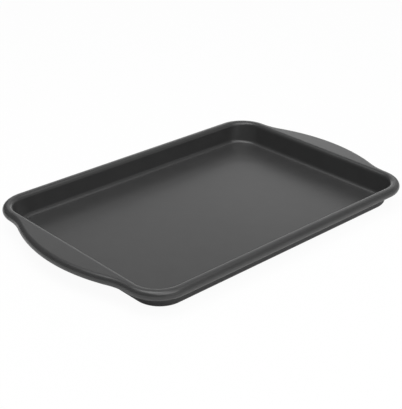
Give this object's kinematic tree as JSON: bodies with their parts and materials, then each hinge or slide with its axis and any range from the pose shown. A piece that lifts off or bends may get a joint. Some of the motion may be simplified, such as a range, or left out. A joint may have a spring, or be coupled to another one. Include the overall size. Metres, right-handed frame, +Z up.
{
  "type": "cookie sheet",
  "caption": "Shallow rectangular baking sheet of dark coated steel, with low sloping walls, a rolled rim and a flat bowed handle at each end.",
  "frame": {"origin": "centre of the floor's underside, on the surface that the sheet stands on", "axes": "+X along the length towards one handle, +Y across the width, +Z up out of the open side"},
  "size_m": [0.3724, 0.2368, 0.0227],
  "materials": {
    "nonstick_coating": "satin dark grey non-stick coating on pressed steel",
    "wire_steel": "plain drawn steel wire"
  },
  "bodies": {
    "root": {"pan_body": "nonstick_coating", "rim_wire": "wire_steel"}
  },
  "joints": []
}
